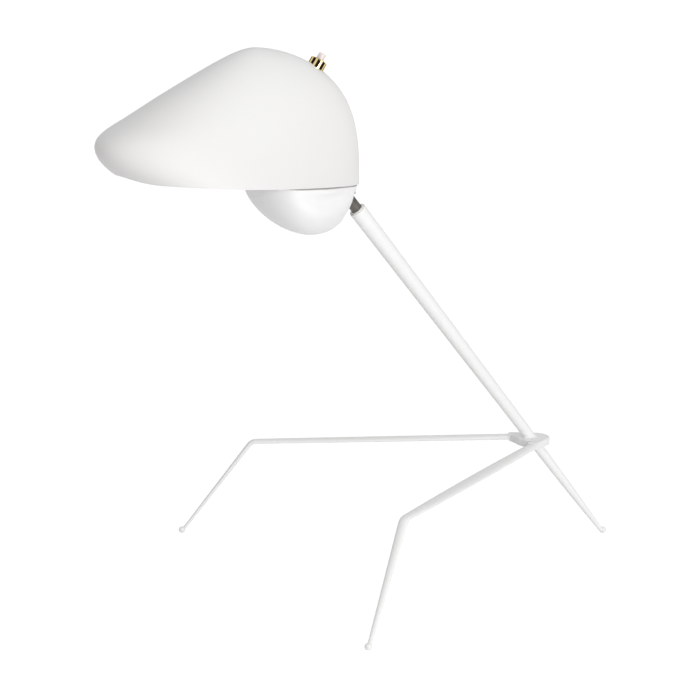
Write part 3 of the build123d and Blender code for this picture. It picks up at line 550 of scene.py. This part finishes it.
def pick(piece, wanted, kind="FACE"):
    """Selects the faces or corners that a question answers yes for, and stays in edit mode."""
    edit(piece, kind)
    bpy.ops.object.mode_set(mode="OBJECT")
    if kind == "FACE":
        for face in piece.data.polygons:
            face.select = wanted(piece.matrix_world @ face.center)
    else:
        for corner in piece.data.vertices:
            corner.select = wanted(piece.matrix_world @ corner.co)
    bpy.ops.object.mode_set(mode="EDIT")


def settle(piece, name, smooth_angle=PLAIN_ANGLE):
    """Closes and orients a piece, puts its place in its mesh and names it."""
    edit(piece)
    bpy.ops.mesh.select_all(action="SELECT")
    bpy.ops.mesh.remove_doubles(threshold=MERGE_DISTANCE)
    bpy.ops.mesh.normals_make_consistent(inside=False)
    bpy.ops.object.mode_set(mode="OBJECT")
    bpy.ops.object.transform_apply(location=True, rotation=True, scale=True)
    bpy.ops.object.shade_smooth_by_angle(angle=math.radians(smooth_angle))
    piece.name = name
    piece.data.name = name


def turn_on_lathe(profile, origin, axis, across, steps):
    """Extrudes a corner along a profile in millimetres, then spins the line about the axis."""
    points = [axis * along * MM + across * radius * MM for along, radius in profile]
    deselect()
    bpy.ops.mesh.primitive_plane_add(size=MM, location=origin + points[0])
    piece = bpy.context.object
    edit(piece)
    bpy.ops.mesh.select_all(action="SELECT")
    bpy.ops.mesh.merge(type="CENTER")
    for before, after in zip(points, points[1:]):
        bpy.ops.mesh.extrude_region_move(TRANSFORM_OT_translate={"value": after - before})
    bpy.ops.mesh.select_all(action="SELECT")
    bpy.ops.mesh.spin(steps=steps, angle=2 * math.pi, center=origin, axis=axis)
    bpy.ops.mesh.select_all(action="SELECT")
    bpy.ops.mesh.remove_doubles(threshold=MERGE_DISTANCE)
    return piece


def arc(centre, radius, start, end, steps):
    """Points of an arc: angles in degrees from the lathe's axis."""
    points = []
    for index in range(steps + 1):
        angle = math.radians(start + (end - start) * index / steps)
        points.append((centre[0] + radius * math.cos(angle), centre[1] + radius * math.sin(angle)))
    return points


def sink_flutes(piece, origin, axis, across, steps, flute):
    """Sinks flutes in the side of a turned piece, leaving ribs between them."""
    forward = axis.cross(across)

    def in_flute(place):
        offset = place - origin
        level = Vector((offset.dot(across), offset.dot(forward)))
        step = int(math.atan2(level.y, level.x) % (2 * math.pi) / (2 * math.pi) * steps)
        beside = flute["start"] < offset.dot(axis) < flute["end"]
        return beside and level.length > flute["beyond"] and step % flute["pitch"] < flute["width"]

    pick(piece, in_flute)
    bpy.ops.mesh.inset(thickness=flute["rim"], depth=0.0)
    bpy.ops.mesh.inset(thickness=flute["slope"], depth=-flute["depth"])


def make_arm_braze():
    """Small concave fillet of braze where the leaning arm stands on the hub."""
    origin = Vector((ARM_FOOT_X, 0.0, HUB_TOP))
    piece = turn_on_lathe(BRAZE_PROFILE, origin, Vector((0, 0, 1)), Vector((1, 0, 0)), BRAZE_STEPS)
    bpy.ops.mesh.select_all(action="SELECT")
    bpy.ops.transform.resize(value=(1 / math.sin(STRUT_ANGLE), 1, 1), center_override=origin)
    for rise in sorted({rise * MM for rise, radius in BRAZE_PROFILE if rise > 0}):
        pick(piece, lambda place: abs(place.z - HUB_TOP - rise) < LEVEL_TOLERANCE, "VERT")
        bpy.ops.transform.translate(value=(-rise / math.tan(STRUT_ANGLE), 0, 0))
    settle(piece, "arm_braze")
    return piece


def bulb_profile():
    """Root inside the cap, a neck that runs into the globe in one curve, and the globe."""
    lift = BULB_NECK_RADIUS + BULB_NECK_BLEND
    reach = BULB_RADIUS + BULB_NECK_BLEND
    behind = math.sqrt(reach**2 - lift**2)
    meet = math.degrees(math.atan2(lift, behind))
    neck = arc((BULB_CENTRE - behind, lift), BULB_NECK_BLEND, 270, 360 - meet, NECK_STEPS)
    globe = arc((BULB_CENTRE, 0), BULB_RADIUS, 180 - meet, 0, GLOBE_STEPS)
    return BULB_ROOT + neck + globe[1:]


def make_bulb_globe():
    up = Vector((0, 0, 1))
    piece = turn_on_lathe(bulb_profile(), HOLDER_PLACE, HOLDER_DIRECTION, up, BULB_STEPS)
    settle(piece, "bulb_globe", ROUND_ANGLE)
    return piece


def make_holder_shell():
    """Moulded lampholder shell with a grip of sunk flutes and a rounded mouth."""
    up = Vector((0, 0, 1))
    piece = turn_on_lathe(SHELL_PROFILE, HOLDER_PLACE, HOLDER_DIRECTION, up, SHELL_STEPS)
    sink_flutes(piece, HOLDER_PLACE, HOLDER_DIRECTION, up, SHELL_STEPS, SHELL_FLUTE)
    settle(piece, "lampholder_shell", FLUTED_ANGLE)
    return piece


def make_bezel_ring():
    """Ring nut of the switch, with ten broad flutes sunk in its side."""
    across = Vector((0, 1, 0))
    piece = turn_on_lathe(RING_PROFILE, SWITCH_PLACE, SWITCH_DIRECTION, across, RING_STEPS)
    sink_flutes(piece, SWITCH_PLACE, SWITCH_DIRECTION, across, RING_STEPS, RING_FLUTE)
    settle(piece, "bezel_ring", FLUTED_ANGLE)
    return piece


def make_clamp_screw():
    """Socket-head cap screw of the ball clamp, at the rearmost of its three places."""
    origin = BALL_CENTRE + STRUT_BACK * CLAMP_CIRCLE
    piece = turn_on_lathe(SCREW_PROFILE, origin, STRUT_DIRECTION, STRUT_BACK, SCREW_STEPS)
    settle(piece, "clamp_screw_1")
    deselect()
    bpy.ops.mesh.primitive_cylinder_add(
        vertices=6,
        radius=SCREW_SOCKET_RADIUS,
        depth=2 * SCREW_SOCKET_DEPTH,
        location=origin + STRUT_DIRECTION * SCREW_PROFILE[0][0] * MM,
        rotation=STRUT_DIRECTION.to_track_quat("Z", "Y").to_euler(),
    )
    key = bpy.context.object
    cut = piece.modifiers.new("socket", "BOOLEAN")
    cut.object = key
    cut.solver = "EXACT"
    deselect()
    piece.select_set(True)
    bpy.context.view_layer.objects.active = piece
    bpy.ops.object.modifier_apply(modifier="socket")
    bpy.data.objects.remove(key)
    bpy.ops.object.shade_smooth_by_angle(angle=math.radians(PLAIN_ANGLE))
    return piece


def copy_round(piece, name, turn):
    """Copy with its own mesh, turned about the strut through the ball's centre."""
    twin = piece.copy()
    twin.data = piece.data.copy()
    twin.name = name
    twin.data.name = name
    about = Matrix.Rotation(math.radians(turn), 4, STRUT_DIRECTION)
    twin.data.transform(Matrix.Translation(BALL_CENTRE) @ about @ Matrix.Translation(-BALL_CENTRE))
    bpy.context.scene.collection.objects.link(twin)
    return twin


def make_jaw_shadow_bead():
    """Thin dark bead round the lower jaw, close under the shade's rim: a painted shadow of the gap
    there.
    """
    piece = bpy.data.objects.new("jaw_shadow_bead", frame["nodes"]["lower_jaw"].data.copy())
    bpy.context.scene.collection.objects.link(piece)
    edit(piece)
    bpy.ops.mesh.select_all(action="SELECT")
    bpy.ops.mesh.remove_doubles(threshold=MERGE_DISTANCE)
    bpy.ops.mesh.select_all(action="SELECT")
    level = RIM_REAR - RIM_NORMAL * SEAM_DROP
    bpy.ops.mesh.bisect(plane_co=level, plane_no=RIM_NORMAL, clear_inner=True, clear_outer=True)
    bpy.ops.mesh.select_all(action="SELECT")
    bpy.ops.mesh.remove_doubles(threshold=SEAM_SPACING)
    bpy.ops.object.mode_set(mode="OBJECT")
    rearmost = max(corner.co.x for corner in piece.data.vertices)
    pick(piece, lambda place: place.x == rearmost, "VERT")
    bpy.ops.mesh.select_linked()
    bpy.ops.mesh.select_all(action="INVERT")
    bpy.ops.mesh.delete(type="VERT")
    bpy.ops.object.mode_set(mode="OBJECT")
    bpy.ops.object.convert(target="CURVE")
    piece.data.bevel_depth = SEAM_RADIUS
    piece.data.bevel_resolution = 2
    bpy.ops.object.convert(target="MESH")
    settle(piece, "jaw_shadow_bead", ROUND_ANGLE)
    return piece


def dress(piece, material, body, slot, *nodes):
    """Gives a piece its material and its body, and hides the nodes that it stands for. The slot is not
    used.
    """
    piece.data.materials.clear()
    piece.data.materials.append(material)
    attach(piece, body)
    if nodes:
        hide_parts(*nodes)


def make_pieces():
    dress(make_arm_braze(), STAND_ENAMEL, "stand", "white_paint")
    dress(make_bulb_globe(), OPAL_GLASS, "head", "opal_glass", "bulb_glass")
    dress(make_holder_shell(), BLACK_PHENOLIC, "head", "black_plastic", "holder_shell")
    dress(make_jaw_shadow_bead(), SHADOW_BEAD_FINISH, "head", "shade_paint")
    dress(make_bezel_ring(), FLUTED_BRASS, "head", "brass", "bezel_nut")
    first = make_clamp_screw()
    others = [copy_round(first, f"clamp_screw_{index + 1}", index * SCREW_TURN) for index in (1, 2)]
    for screw in [first] + others:
        dress(screw, PRESSED_ZINC, "head", "zinc_steel", "clamp_screws")
    deselect()


def make_floor():
    """Pale floor past the edges of the view. The camera sees it lifted to the white of a backdrop,
    least near the lamp, whose soft shadow stays."""
    deselect()
    bpy.ops.mesh.primitive_circle_add(vertices=FLOOR_STEPS, radius=FLOOR_RADIUS, fill_type="NGON")
    floor = bpy.context.object
    floor.name = "floor"
    finish = Finish(bpy.data.materials.new("floor_white"))
    colour = finish.mix(finish.noise(FLOOR_CLOUD_SCALE) * 0.3, FLOOR_WHITE, FLOOR_GREY)
    reach = finish.from_axis((LAMP_CENTRE[0], LAMP_CENTRE[1], 0.0), (0.0, 0.0, 1.0))
    lift = finish.window(reach, FLOOR_NEAR, FLOOR_FAR)
    finish.principled(
        {
            "Base Color": colour,
            "Roughness": 0.9,
            "Specular IOR Level": 0.0,
            "Emission Color": finish.mix(lift, FLOOR_LIFT_NEAR, FLOOR_LIFT_FAR),
            "Emission Strength": 1.0,
        }
    )
    plain = finish.node("ShaderNodeBsdfDiffuse", None, {"Color": colour})
    lifted = Value(finish, finish.tree.nodes["Principled BSDF"].outputs[0])
    both = finish.node("ShaderNodeMixShader", None, {0: finish.seen(), 1: plain, 2: lifted})
    finish.fill(finish.tree.nodes["Material Output"], {"Surface": both})
    floor.data.materials.append(finish.owner)


def make_world():
    """Surroundings that light the lamp least from its two ends, and look plain white."""
    world = bpy.data.worlds.new("studio")
    bpy.context.scene.world = world
    air = Finish(world, "Generated")
    toward_end = air.along((1.0, 0.0, 0.0))
    sideways = air.node("ShaderNodeMath", {"operation": "ABSOLUTE"}, {0: toward_end})
    level = WORLD_FRONT - sideways * WORLD_FALL
    strength = level + air.seen() * (1.0 - level)
    air.fill(air.tree.nodes["Background"], {"Color": BACKDROP_WHITE, "Strength": strength})


def make_softbox(name, place, width, height, power):
    data = bpy.data.lights.new(name, "AREA")
    data.shape = "RECTANGLE"
    data.size = width
    data.size_y = height
    data.energy = power
    lamp = bpy.data.objects.new(name, data)
    lamp.location = place
    lamp.rotation_euler = (Vector(LAMP_CENTRE) - Vector(place)).to_track_quat("-Z", "Y").to_euler()
    bpy.context.scene.collection.objects.link(lamp)


def make_camera():
    azimuth = math.radians(CAMERA_AZIMUTH)
    elevation = math.radians(CAMERA_ELEVATION)
    level = math.cos(elevation)
    back = Vector((math.sin(azimuth) * level, -math.cos(azimuth) * level, math.sin(elevation)))
    right = Vector((math.cos(azimuth), math.sin(azimuth), 0.0))
    data = bpy.data.cameras.new("camera")
    data.lens = CAMERA_LENS
    data.sensor_width = CAMERA_SENSOR
    data.clip_end = CAMERA_REACH
    camera = bpy.data.objects.new("camera", data)
    turn = Matrix((right, back.cross(right), back)).transposed()
    camera.matrix_world = Matrix.Translation(Vector(CAMERA_PLACE)) @ turn.to_4x4()
    bpy.context.scene.collection.objects.link(camera)
    bpy.context.scene.camera = camera


make_camera()
finish_nodes()
make_pieces()
make_floor()
make_world()
make_softbox("key", KEY_PLACE, KEY_WIDTH, KEY_HEIGHT, KEY_POWER)
bpy.context.scene.view_settings.view_transform = "Standard"
